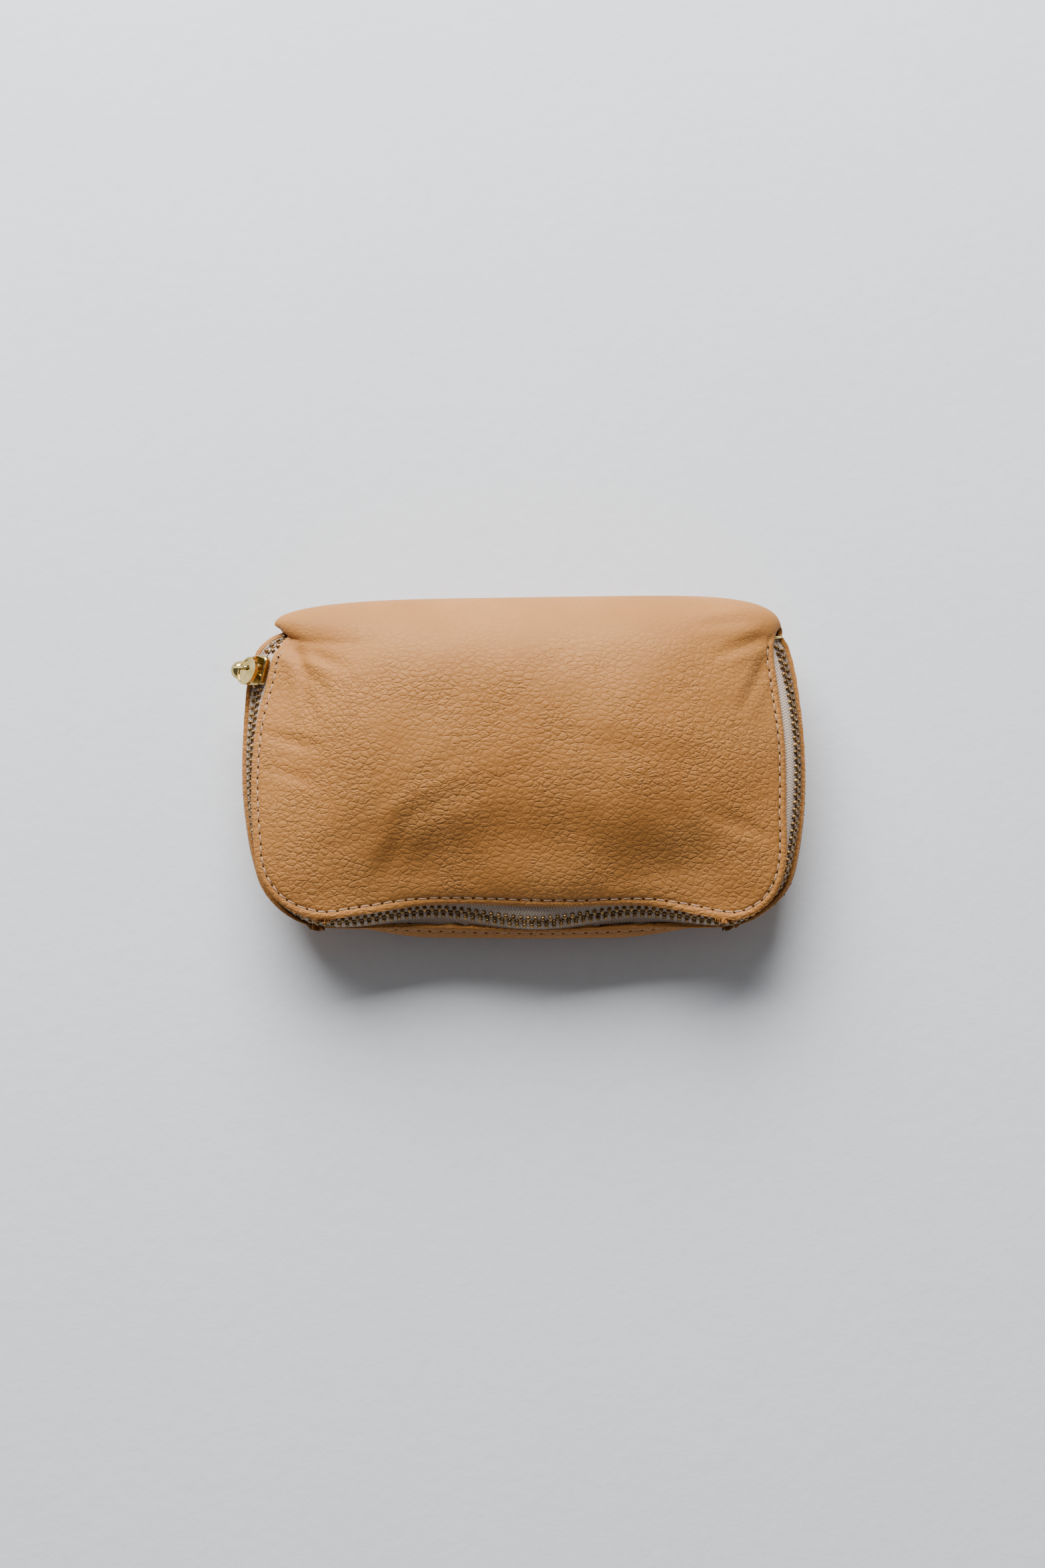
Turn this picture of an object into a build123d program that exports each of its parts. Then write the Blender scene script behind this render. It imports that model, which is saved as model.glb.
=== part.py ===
from build123d import *
from math import asin, atan2, cos, exp, pi, radians, sin
import os

# Zippered pouch: a folded leather shell closed on three sides by one metal zip. Millimetres. +Z is
# up, +Y is the folded spine and -Y is the front. The whole object's box is centred on the origin to
# within half a millimetre, with its underside at z = 0.

# The zip's centre line: a flat loop with bowed sides, rounded front corners and a straight back.
zip_height = 27.0
zip_half_width = 93.5
zip_front = 47.2
zip_back = 60.0
side_radius = 150.0
side_centre_y = 5.0
front_corner_radius = 23.0
back_corner_radius = 12.0

# The zip's band leans 45 degrees, from the base's edge up and inward to the lid's edge.
lean = 45.0
band_half = 5.2
tape_thickness = 0.6
tape_gap = 0.9
tooth_pitch = 2.5
tooth_length = 1.0
tooth_reach = 2.95
tooth_thickness = 2.6
tooth_grip = 0.1
centre_gap = 0.45

# The fold: the lid turns about a line that joins the two ends of the zip.
fold_depth = 9.0
spine_gap = 0.6
lid_back_gap = 1.8
zip_end_gap = 4.0
stop_setback = 1.3
stop_length = 1.0
stop_half = 2.4
stop_corner = 0.4
top_stop_length = 1.4

# The lid's dome and the base's tub, as depth in from the zip's line against height.
lid_rise = 20.5
lid_span = 42.0
lid_steps = 7
lid_crown = 0.94
belly_height = 15.0
belly_out = 3.5
front_belly = 12.8
front_belly_taper = 0.3
foot_inset = 18.0
foot_steps = 5

# Layers, outside to inside.
leather_thickness = 1.4
interlining_thickness = 0.8
lining_thickness = 0.5
layer_gap = 0.1
lining_drop = 2.4

# Topstitching.
stitch_from_edge = 2.7
stitch_pitch = 3.8
stitch_length = 2.8
stitch_width = 0.5
stitch_height = 0.35
stitch_lift = 0.08

# Slider, its bail and its pull.
slider_setback = 14.0
slider_length = 10.6
slider_clearance = 0.3
plate_corner = 2.2
plate_chamfer = 0.35
plate_thickness = 1.2
flange_thickness = 0.8
tape_slot = 1.5
web_thickness = 0.4
web_length = 1.8
web_setting = 0.1
bail_length = 4.2
bail_back = 2.4
bail_width = 1.5
bail_bar = 0.9
bail_opening = 1.3
bail_setting = 0.4
bail_corner = 0.7
pin_radius = 0.5
pin_back = 3.0
cheek_thickness = 0.7
cheek_gap = 0.2
disc_radius = 4.8
disc_thickness = 1.0
disc_rim = 0.6
disc_rim_height = 0.25
disc_gap = 0.45
disc_ahead = 4.6
eye_back = 1.1
eye_radius = 0.95
link_radius = 0.42
link_rise = 1.0
link_sink = 0.6
link_past_eye = 0.25
ball_radius = 3.3
ball_out = 7.7
ball_below = 2.3

# Derived values.
hinge_y = zip_back - fold_depth
slider_y = hinge_y - slider_setback
lean_out = cos(radians(lean))
lean_up = sin(radians(lean))
edge_out = band_half * lean_out
base_edge_z = zip_height - band_half * lean_up
lid_edge_z = zip_height + band_half * lean_up
channel_half = tooth_thickness / 2 + slider_clearance
flange_inside = tooth_reach + slider_clearance
plate_half_width = flange_inside + flange_thickness
plate_top = channel_half + plate_thickness
pin_height = plate_top + bail_opening / 2
bail_top = plate_top + bail_opening + bail_bar
disc_bottom = bail_top + disc_gap
disc_middle = disc_bottom + disc_thickness / 2
ball_height = disc_middle - ball_below
eye_x = -pin_back + disc_ahead - eye_back


def side_x(y, inset=0.0):
    """Half width of the zip's loop at y, drawn in by inset."""
    radius = side_radius - inset
    return zip_half_width - side_radius + radius * cos(asin((y - side_centre_y) / radius))


slider_x = side_x(slider_y)
ball_x = slider_x + ball_out * lean_out + ball_height * lean_up
left_reach = ball_x + ball_radius
right_reach = zip_half_width + belly_out
box_shift = (left_reach - right_reach) / 2


def corner(radius, inset):
    """Corner radius of an outline drawn in by inset: it tightens but never closes."""
    return radius * exp(-inset / radius)


def loop(inset, z, bulge=0.0):
    """The zip's loop drawn in by inset at height z, with its front pushed out by bulge."""
    front = -zip_front + inset - bulge
    back = zip_back - inset
    reach = zip_half_width - inset
    right = [(side_x(front, inset), front), (reach, side_centre_y), (side_x(back, inset), back)]
    left = [(-x, y) for x, y in reversed(right)]
    if not front < side_centre_y < back:
        right[1] = (side_x((front + back) / 2, inset), (front + back) / 2)
        left[1] = (-right[1][0], right[1][1])
    with BuildSketch(Plane.XY.offset(z)) as sketch:
        with BuildLine():
            ThreePointArc(*right)
            Line(right[-1], left[0])
            ThreePointArc(*left)
            Line(left[-1], right[0])
        make_face()
        middle = (front + back) / 2
        fillet([v for v in sketch.vertices() if v.Y < middle], corner(front_corner_radius, inset))
        fillet(sketch.vertices().sort_by(Axis.Y)[-2:], corner(back_corner_radius, inset))
    return sketch.sketch


def lid_profile(depth):
    """Dome profile as (inset, height, bulge), moved inward by depth along its normal."""
    points = []
    for step in range(lid_steps + 1):
        t = lid_crown * step / lid_steps
        slope = lid_rise * pi / 2 / lid_span * cos(pi * t / 2)
        angle = atan2(slope, 1.0)
        inset = edge_out + lid_span * t
        z = lid_edge_z + lid_rise * sin(pi * t / 2)
        if step == 0:
            points.append((inset + depth / sin(angle), z, 0.0))
        else:
            points.append((inset + depth * sin(angle), z - depth * cos(angle), 0.0))
    return points


def base_profile(depth):
    """Tub profile as (inset, height, bulge) from the foot up to the rim, moved inward by depth."""
    points = []
    for step in range(foot_steps, -1, -1):
        angle = pi / 2 * step / foot_steps
        flat = 1.0 if step == foot_steps else 0.0
        inset = -belly_out + foot_inset * (1 - cos(angle)) + depth * cos(angle) * (1 - flat)
        z = belly_height * (1 - sin(angle)) + depth * sin(angle)
        points.append((inset + depth * flat, z, front_belly * (1 - front_belly_taper * sin(angle))))
    points.append((depth - edge_out, base_edge_z, 0.0))
    return points


def dome(depth, profile):
    """Closed solid through every step of a profile."""
    return loft([loop(*point) for point in profile(depth)], ruled=True)


def layer(profile, outer, thickness):
    """One sheet of the shell, from depth outer to outer plus thickness."""
    return dome(outer, profile) - dome(outer + thickness, profile)


def band_shell(low, high, outer, thickness):
    """A leaning strip of the band between two distances across it, low and high."""
    def wedge(depth):
        sections = []
        for across in (low, high):
            sections.append(loop(across * lean_out + depth / lean_up, zip_height + across * lean_up))
        return loft(sections, ruled=True)
    return wedge(outer) - wedge(outer + thickness)


def half_space(y_low, y_high):
    """A block that keeps what lies between two values of y."""
    wide = 4 * zip_half_width
    return Pos(0, (y_low + y_high) / 2, zip_height) * Box(wide, y_high - y_low, wide)


def behind(y):
    return half_space(y, y + 4 * zip_back)


def ahead(y):
    return half_space(y - 8 * zip_back, y)


def path_frames(spacing, start, inset=0.0, end_y=hinge_y):
    """Points every spacing along the loop drawn in by inset, from the middle of the front both ways
    to end_y, each with the direction that faces outward. start is the first one's share of spacing."""
    wire = loop(inset, 0.0).wire()
    count = int(wire.length / spacing / 2)
    origin = wire.param_at_point(Vector(0, -zip_front + inset, 0))
    frames = []
    for index in range(-count, count):
        place = (origin + (index + start) * spacing / wire.length) % 1.0
        point = wire.position_at(place)
        if point.Y > end_y:
            continue
        tangent = wire.tangent_at(place)
        outward = Vector(tangent.Y, -tangent.X, 0)
        if outward.dot(Vector(point.X, point.Y - side_centre_y, 0)) < 0:
            outward = outward * -1
        frames.append((point, outward))
    return frames


def leaning_plane(point, outward):
    """Plane on the zip whose x follows the loop, y leans up and inward, and z faces outward."""
    up = Vector(0, 0, 1)
    across = up * lean_up - outward * lean_out
    normal = outward * lean_up + up * lean_out
    origin = Vector(point.X, point.Y, zip_height)
    return Plane(origin=origin, x_dir=across.cross(normal), z_dir=normal)


def tooth(side):
    """One zip tooth clamped on its tape edge; side is -1 for the base's row, 1 for the lid's."""
    reach = tooth_reach - centre_gap
    block = Pos(0, side * (centre_gap + reach / 2), 0) * Box(tooth_length, reach, tooth_thickness)
    slot_start = tape_gap - tooth_grip
    slot = tooth_reach - slot_start + 1
    groove = Box(2 * tooth_length, slot, tape_thickness + 2 * tooth_grip)
    return block - Pos(0, side * (slot_start + slot / 2), 0) * groove


def teeth(side, end_y, start):
    """A whole row of teeth, leaving out those that the slider holds on the lid's row."""
    shape = tooth(side)
    row = []
    for point, outward in path_frames(tooth_pitch, start, end_y=end_y):
        near_slider = point.X < 0 and abs(point.Y - slider_y) < slider_length / 2 + tooth_pitch
        if side > 0 and near_slider:
            continue
        row.append(leaning_plane(point, outward).location * shape)
    return Compound(row)


def tape(side, end_y):
    """Woven strip from the teeth's edge to the leather's edge."""
    mitre = tape_thickness / 2
    near, far = side * (tape_gap + mitre), side * (band_half - layer_gap)
    low, high = min(near, far), max(near, far)
    depth = -tape_thickness / 2
    return band_shell(low, high, depth, tape_thickness) & ahead(end_y)


def lid_tape(end_y):
    """The lid's tape, notched where the slider's plates hold it."""
    frame = end_plane(-1, slider_y)
    room = Box(slider_length + 4 * slider_clearance, 4 * plate_half_width, 2 * plate_top)
    return tape(1, end_y) - frame.location * room


def topstitch(rim, inner, end_y):
    """A row of stitches on the straight strip between two sections of the shell, one stitch in from
    the rim's edge, each lying on the strip."""
    shape = Box(stitch_length, stitch_width, stitch_height)
    row = []
    for low_edge, high_edge in zip(loop(*rim).wire().edges(), loop(*inner).wire().edges()):
        count = max(1, round(low_edge.length / stitch_pitch))
        for index in range(count):
            share = (index + 0.5) / count
            start = low_edge.position_at(share)
            if start.Y > end_y:
                continue
            down = (high_edge.position_at(share) - start).normalized()
            along = low_edge.tangent_at(share)
            normal = along.cross(down).normalized()
            if normal.dot(Vector(start.X, start.Y, zip_height)) < 0:
                normal = normal * -1
            spot = start + down * stitch_from_edge + normal * (stitch_height / 2 + stitch_lift)
            row.append(Plane(origin=spot, x_dir=along, z_dir=normal).location * shape)
    return Compound(row)


def lid_topstitch():
    rim, inner = lid_profile(0.0)[:2]
    return topstitch(rim, inner, hinge_y - zip_end_gap)


def base_topstitch():
    inner, rim = base_profile(0.0)[-2:]
    return topstitch(rim, inner, hinge_y - zip_end_gap)


def end_plane(side, y):
    """The leaning plane on the zip's line where it passes y, on the left (-1) or the right (1)."""
    frames = [frame for frame in path_frames(tooth_pitch / 10, 0.0) if frame[0].X * side > 0]
    point, outward = min(frames, key=lambda frame: abs(frame[0].Y - y))
    return leaning_plane(point, outward)


def bottom_stop():
    """Bar across both tapes at the right end of the zip."""
    y = hinge_y - stop_setback - stop_length / 2
    bar = fillet(Box(stop_length, 2 * stop_half, tooth_thickness).edges().filter_by(Axis.X), stop_corner)
    return end_plane(1, y).location * bar


def top_stop(side, y):
    """Small clamp on the end of one tape, at the left end of the zip."""
    reach = tooth_reach - centre_gap
    block = Box(top_stop_length, reach, tooth_thickness)
    groove = Box(2 * top_stop_length, reach, tape_thickness + 2 * tooth_grip)
    shifted = Pos(0, side * (tape_gap - tooth_grip - centre_gap), 0) * groove
    piece = block - shifted
    return end_plane(-1, y).location * Pos(0, side * (centre_gap + reach / 2), 0) * piece


def slider_body():
    """Two plates joined by a web, with flanges that run round the teeth on both sides."""
    body = Box(slider_length, 2 * plate_half_width, 2 * plate_top)
    body = fillet(body.edges().filter_by(Axis.Z), plate_corner)
    body = chamfer(body.faces().sort_by(Axis.Z)[-1].edges(), plate_chamfer)
    body -= Box(2 * slider_length, 2 * flange_inside, 2 * channel_half)
    body -= Box(2 * slider_length, 3 * plate_half_width, tape_slot)
    web_x = -slider_length / 2 + web_length
    body += Pos(web_x, 0, 0) * Box(web_length, web_thickness, 2 * (channel_half + web_setting))
    sockets = Pos(-bail_back, 0, plate_top) * Box(bail_length, bail_width, 2 * bail_setting)
    gap = Pos(-bail_back, 0, plate_top) * Box(bail_length - 2 * bail_bar, bail_width, 2 * bail_setting)
    return body - (sockets - gap)


def slider_bail():
    """Bridge staked into the slider's upper plate."""
    height = bail_top - plate_top + bail_setting
    block = Box(bail_length, bail_width, height)
    block = fillet(block.faces().sort_by(Axis.Z)[-1].edges().filter_by(Axis.Y), bail_corner)
    window_height = bail_opening + bail_setting
    window = Box(bail_length - 2 * bail_bar, 2 * bail_width, window_height)
    block -= Pos(0, 0, -(height - window_height) / 2) * window
    return Pos(-bail_back, 0, bail_top - height / 2) * block


def pull_disc():
    """Flat round disc with a raised rim and an eye near its back, centred on its own axis."""
    disc = Pos(0, 0, disc_middle) * Cylinder(disc_radius, disc_thickness)
    rim_z = disc_bottom + disc_thickness + disc_rim_height / 2
    rim = Cylinder(disc_radius, disc_rim_height) - Cylinder(disc_radius - disc_rim, 2 * disc_rim_height)
    disc += Pos(0, 0, rim_z) * rim
    return disc - Pos(-eye_back, 0, disc_middle) * Cylinder(eye_radius, 3 * disc_thickness)


def pull_tab():
    """Round tab hung on the bail by a cross pin between two cheeks with round ends."""
    cheek_y = bail_width / 2 + cheek_gap + cheek_thickness / 2
    cheek_height = disc_middle - pin_height
    tab = Pos(-pin_back + disc_ahead, 0, 0) * pull_disc()
    for hand in (-1, 1):
        cheek = Pos(0, 0, cheek_height / 2) * Box(2 * pin_radius, cheek_thickness, cheek_height)
        cheek += Rot(90, 0, 0) * Cylinder(pin_radius, cheek_thickness)
        tab += Pos(-pin_back, hand * cheek_y, pin_height) * cheek
    width = 2 * cheek_y + cheek_thickness
    arm = Box(disc_ahead / 2, width, disc_thickness)
    tab += Pos(-pin_back + disc_ahead / 4 - pin_radius, 0, disc_middle) * arm
    pin = Rot(90, 0, 0) * Cylinder(pin_radius, width)
    return tab + Pos(-pin_back, 0, pin_height) * pin


def pull_link():
    """Closed wire loop through the tab's eye and over its rim to the ball."""
    low = disc_middle - disc_thickness / 2 - link_rise
    high = disc_middle + disc_thickness / 2 + link_rise
    end = -(ball_out - ball_radius * link_sink)
    half = (high - low) / 2
    plane = Plane(origin=(eye_x, 0, (low + high) / 2), x_dir=(0, 1, 0), z_dir=(1, 0, 0))
    turn = link_past_eye - half
    with BuildPart() as link:
        with BuildLine(plane) as path:
            Line((end, half), (turn, half))
            ThreePointArc((turn, half), (link_past_eye, 0), (turn, -half))
            Line((turn, -half), (end, -half))
            ThreePointArc((end, -half), (end - half, 0), (end, half))
        with BuildSketch(Plane(origin=plane.location.position + Vector(0, end, half), z_dir=(0, 1, 0))):
            Circle(link_radius)
        sweep(path=path.line)
    return link.part


def pull_ball():
    """Ball bored to take the end of its link."""
    ball = Pos(eye_x, -ball_out, ball_height) * Sphere(ball_radius)
    return ball - pull_link()


def below_rim(shape):
    """The part of an inner layer that stops short of the rim, clear of the slider's inner plate."""
    wide = 4 * zip_half_width
    return shape & (Pos(0, 0, base_edge_z - lining_drop - wide / 2) * Box(wide, wide, wide))


def split_back(shape):
    """The part of the lid's shell that stays ahead of the fold, clear of it."""
    return shape & ahead(hinge_y - lid_back_gap)


def spine(outer, thickness):
    """The fold: the band and the back of the dome, from depth outer to outer plus thickness."""
    band = band_shell(-band_half, band_half, outer, thickness) & behind(hinge_y - spine_gap)
    back = layer(lid_profile, outer, thickness) & behind(hinge_y - lid_back_gap + layer_gap)
    return band + back


def build():
    """Every sub-part by its node name, in the slider's frame where a second value says so."""
    interlining_depth = leather_thickness + layer_gap
    lining_depth = interlining_depth + interlining_thickness + layer_gap
    lid_end = hinge_y - zip_end_gap
    base_end = hinge_y - stop_setback - stop_length - 2 * layer_gap
    stop_room = tooth_pitch
    parts = {
        "base_leather": layer(base_profile, 0.0, leather_thickness),
        "base_interlining": below_rim(layer(base_profile, interlining_depth, interlining_thickness)),
        "base_lining": below_rim(layer(base_profile, lining_depth, lining_thickness)),
        "base_zip_tape": tape(-1, base_end),
        "base_zip_teeth": teeth(-1, base_end - stop_room, 0.0),
        "base_top_stop": top_stop(-1, base_end - stop_room / 2),
        "zip_bottom_stop": bottom_stop(),
        "base_topstitch": base_topstitch(),
        "spine_leather": spine(0.0, leather_thickness),
        "spine_lining": spine(interlining_depth, interlining_thickness + lining_thickness),
        "lid_leather": split_back(layer(lid_profile, 0.0, leather_thickness)),
        "lid_interlining": split_back(layer(lid_profile, interlining_depth, interlining_thickness)),
        "lid_lining": split_back(layer(lid_profile, lining_depth, lining_thickness)),
        "lid_zip_tape": lid_tape(lid_end),
        "lid_zip_teeth": teeth(1, lid_end - stop_room, 0.5),
        "lid_top_stop": top_stop(1, lid_end - stop_room / 2),
        "lid_topstitch": lid_topstitch(),
    }
    frame = end_plane(-1, slider_y).location
    for make in (slider_body, slider_bail, pull_tab, pull_link, pull_ball):
        parts[make.__name__] = frame * make()
    return parts


def save(name, shape):
    """Write one sub-part, moved so that the whole object's box is centred."""
    export_step(Pos(box_shift, 0, 0) * shape, f"parts/{name}.step")


if __name__ == "__main__":
    os.makedirs("parts", exist_ok=True)
    for node, solid in build().items():
        save(node, solid)
    print(f"box shift {box_shift:.3f} mm")
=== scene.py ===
"""Looks of a zippered pouch: pebbled tan leather puffed over a metal zip that runs round three sides,
with topstitched edges, a lining, a round zip tab and a ball pull. Metres, in the model's own frame."""

import math

import bmesh
import bpy
import numpy as np
from mathutils import Matrix, Vector
from mathutils.bvhtree import BVHTree


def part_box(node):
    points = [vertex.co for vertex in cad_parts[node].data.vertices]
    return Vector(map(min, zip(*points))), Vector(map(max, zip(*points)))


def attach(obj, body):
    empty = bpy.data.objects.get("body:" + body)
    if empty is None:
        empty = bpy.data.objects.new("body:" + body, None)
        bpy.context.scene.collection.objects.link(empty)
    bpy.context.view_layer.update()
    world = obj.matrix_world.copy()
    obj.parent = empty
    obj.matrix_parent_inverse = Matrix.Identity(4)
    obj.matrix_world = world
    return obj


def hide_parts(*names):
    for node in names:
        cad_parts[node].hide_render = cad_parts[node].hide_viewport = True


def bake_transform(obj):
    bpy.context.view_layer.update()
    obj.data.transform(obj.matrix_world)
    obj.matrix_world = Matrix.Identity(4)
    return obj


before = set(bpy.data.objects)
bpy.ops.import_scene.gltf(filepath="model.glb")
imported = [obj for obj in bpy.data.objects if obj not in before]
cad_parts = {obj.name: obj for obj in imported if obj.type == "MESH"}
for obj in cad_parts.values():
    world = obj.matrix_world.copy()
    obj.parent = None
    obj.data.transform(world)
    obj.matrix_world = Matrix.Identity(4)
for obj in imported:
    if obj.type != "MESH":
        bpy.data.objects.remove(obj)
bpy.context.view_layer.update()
mm = 0.001

# The zip's line in plan: bowed sides, rounded front corners, and its height.
low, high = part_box("base_leather")
MIDDLE_X = (low[0] + high[0]) / 2
ZIP_Z = 27.0 * mm
SIDE_HALF = 93.5 * mm
SIDE_RADIUS = 150.0 * mm
SIDE_Y = 5.0 * mm
FRONT = 47.2 * mm
CORNER = 23.0 * mm
END_Y = 49.6 * mm
END_BEND = 6.0 * mm
END_BEND_FROM = 41.0 * mm

# The slider's place on the left side, and how far from it the lid's teeth are left out.
SLIDER_Y = 37.0 * mm
SLIDER_REACH = 6.0 * mm

# The band between the two leather edges, and what lies in it.
BAND = 5.2 * mm
TEETH_HALF = 3.0 * mm
LEATHER = 1.5 * mm
LEATHER_RIM = 0.5 * mm
LINING = 0.4 * mm
LINING_DEPTH = 2.6 * mm
LINING_TRIM = 4
TAPE = 0.55 * mm
TAPE_DEPTH_MM = 1.95
TAPE_ACROSS = np.array([0.35, 1.2, 2.2, 3.1, 3.8, 4.4, 5.0]) * mm
TAPE_UNDER = np.array([0.6, 1.8, 3.0, 4.2, 5.4, 6.6]) * mm
STRIP_UNDER = 6.0 * mm
PITCH = 2.5 * mm
TEETH_START = 1.6 * mm
TEETH_END = 1.8 * mm
TOP_STOP_AT = 0.2 * mm
BOTTOM_STOP_FROM_END = 0.7 * mm

# The buckling of the soft front edge, and how far each line follows it.
WAVE_LENGTH = 68.0 * mm
WAVE_X = 4.0 * mm
CHAIN_WAVE = 1.9 * mm
CHAIN_DIP = 0.8 * mm
EDGE_WAVE = 1.5 * mm
BASE_WAVE = 0.6 * mm

# Topstitching: its pitch, its distance in from the edge, and the channel that it lies in.
STITCH_PITCH = 3.8 * mm
STITCH_IN = 2.7 * mm
STITCH_START = 5.0 * mm
STITCH_LIFT = 0.10 * mm
HALF_STITCH = 1.3 * mm
MARGIN_REACH = 9.0 * mm
UNSTITCHED = 9.0 * mm

# How the band lies along the zip, from its left end round the front to its right end: distance run in
# mm, lean in degrees at the lid's edge, at the teeth and at the base's edge, then the width of the
# band above and below the teeth's centre in mm. The slider's stretch leans 45 degrees.
BAND_SHAPE = [
    (0, 60, 45, 55, 1.6, 2.2), (6, 45, 45, 45, 4.4, 4.6), (13, 45, 45, 45, 5.2, 5.2),
    (22, 45, 45, 45, 5.2, 5.2), (32, 52, 56, 58, 5.0, 5.0), (45, 58, 62, 66, 4.9, 4.8),
    (70, 72, 74, 75, 4.6, 4.6), (85, 98, 86, 80, 4.2, 4.8), (96, 100, 88, 80, 3.8, 5.0),
    (110, 76, 72, 66, 4.0, 5.0), (127, 50, 62, 62, 4.2, 5.0), (146, 42, 50, 58, 4.0, 4.8),
    (180, 14, 44, 56, 5.4, 4.4), (212, 40, 50, 58, 4.0, 4.8), (232, 54, 62, 62, 4.2, 5.0),
    (244, 74, 72, 66, 4.4, 5.0), (259, 98, 86, 80, 4.2, 5.0), (274, 60, 68, 68, 4.8, 4.8),
    (294, 18, 60, 62, 6.2, 4.2), (309, 8, 60, 62, 6.4, 4.2), (329, 10, 56, 58, 6.2, 4.2),
    (344, 28, 48, 50, 5.4, 4.6), (350, 45, 45, 50, 4.2, 4.2), (354, 60, 45, 55, 1.8, 2.4),
]

# Outline of the pouch along its middle, y and z in mm: lid's edge, dome, fold, foot, front, base's edge.
PROFILE = [
    (-42.6, 29.6), (-37.0, 34.0), (-28.5, 39.2), (-15.0, 45.2), (2.0, 49.6), (18.0, 51.0), (32.0, 50.2),
    (44.0, 47.0), (54.5, 40.4), (61.6, 31.6), (64.6, 21.0), (63.0, 11.0), (57.5, 3.6), (47.0, 0.3),
    (30.0, 0.0), (0.0, 0.0), (-26.0, 0.0), (-38.0, 0.3), (-46.4, 3.0), (-51.4, 8.2), (-53.6, 14.4),
    (-53.6, 20.0), (-51.8, 25.0),
]
PROFILE_BACK = 44.0 * mm

# The leather's grid: rows along one side of the zip, rows round the fold, and columns.
ROWS_EDGE, ROWS_FOLD = 96, 44
COLUMNS = 164

# The fold: the height where the lid's piece ends, its lean, and its swelling past the zip's ends.
FOLD_SPLIT_Z = 17.0 * mm
FOLD_LEAN = 1.3 * mm
FOLD_BACK = 2.6 * mm
FOLD_SWELL = {-1: 4.6 * mm, 1: 0.6 * mm}
BELLY = 1.0 * mm
CORNER_TUCK = 0.42
LID_PULL = 20.0 * mm
BASE_PULL = 9.0 * mm


# ---------------------------------------------------------------- shader expressions
class Value:
    """A shader socket that can be used in sums."""

    def __init__(self, tree, socket):
        self.tree, self.socket = tree, socket

    def maths(self, operation, *values):
        node = self.tree.nodes.new("ShaderNodeMath")
        node.operation = operation
        for socket, value in zip(node.inputs, values):
            plug(self.tree, socket, value)
        return Value(self.tree, node.outputs[0])

    def __add__(self, other):
        return self.maths("ADD", self, other)

    __radd__ = __add__

    def __sub__(self, other):
        return self.maths("SUBTRACT", self, other)

    def __rsub__(self, other):
        return self.maths("SUBTRACT", other, self)

    def __mul__(self, other):
        return self.maths("MULTIPLY", self, other)

    __rmul__ = __mul__

    def __truediv__(self, other):
        return self.maths("DIVIDE", self, other)


def plug(tree, socket, value):
    if isinstance(value, Value):
        tree.links.new(value.socket, socket)
    else:
        socket.default_value = value


class Finish:
    """A material with one Principled shader and a short way to add nodes to it."""

    def __init__(self, name, **constants):
        self.material = bpy.data.materials.new(name)
        self.material.use_nodes = True
        self.tree = self.material.node_tree
        self.shader = self.tree.nodes["Principled BSDF"]
        for key, value in constants.items():
            self.shader.inputs[key.replace("_", " ")].default_value = value

    def node(self, kind, settings=None, output=0, **values):
        """One node of a type, with its settings first and then its sockets."""
        node = self.tree.nodes.new("ShaderNode" + kind)
        for key, value in (settings or {}).items():
            setattr(node, key, value)
        for key, value in values.items():
            plug(self.tree, node.inputs[key.replace("_", " ")], value)
        return Value(self.tree, node.outputs[output])

    def place(self, scale=(1, 1, 1), turn=(0, 0, 0)):
        """Object coordinates, stretched and turned."""
        at = self.node("TexCoord", output=3)
        return self.node("Mapping", Vector=at, Scale=scale, Rotation=turn)

    def strip(self):
        """The piece's own UV map, in metres along and across."""
        return self.node("UVMap", {"uv_map": "strip"})

    def warp(self, at, scale, reach):
        """Coordinates pushed about by a noise, by up to about half of reach."""
        push = self.node("TexNoise", output=1, Vector=at, Scale=scale, Detail=2.0)
        centred = self.vectors("SUBTRACT", push, (0.5, 0.5, 0.5))
        return self.vectors("MULTIPLY_ADD", centred, (reach, reach, reach), at)

    def vectors(self, operation, *values):
        node = self.tree.nodes.new("ShaderNodeVectorMath")
        node.operation = operation
        for socket, value in zip(node.inputs, values):
            plug(self.tree, socket, value)
        return Value(self.tree, node.outputs[0])

    def noise(self, at, scale, detail=3.0, rough=0.55):
        return self.node("TexNoise", Vector=at, Scale=scale, Detail=detail, Roughness=rough)

    def cells(self, at, scale, feature="F1"):
        return self.node("TexVoronoi", {"feature": feature}, Vector=at, Scale=scale)

    def between(self, value, low, high):
        """0 up to low and 1 from high, smoothly between."""
        settings = {"interpolation_type": "SMOOTHSTEP"}
        return self.node("MapRange", settings, Value=value, From_Min=low, From_Max=high)

    def mix(self, share, first, second):
        """Colour mix; a plain colour is given as three numbers."""
        node = self.tree.nodes.new("ShaderNodeMix")
        node.data_type = "RGBA"
        full = [c if isinstance(c, Value) else (*c, 1) for c in (first, second)]
        plug(self.tree, node.inputs[0], share)
        plug(self.tree, node.inputs[6], full[0])
        plug(self.tree, node.inputs[7], full[1])
        return Value(self.tree, node.outputs[2])

    def bump(self, height, distance, strength=1.0, normal=None):
        values = {"Height": height, "Distance": distance, "Strength": strength}
        if normal is not None:
            values["Normal"] = normal
        return self.node("Bump", **values)

    def feed(self, **values):
        for key, value in values.items():
            plug(self.tree, self.shader.inputs[key.replace("_", " ")], value)
        return self.material


def parts_of(finish, vector):
    """The three parts of a vector as values."""
    node = finish.tree.nodes.new("ShaderNodeSeparateXYZ")
    plug(finish.tree, node.inputs[0], vector)
    return [Value(finish.tree, output) for output in node.outputs]


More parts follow.
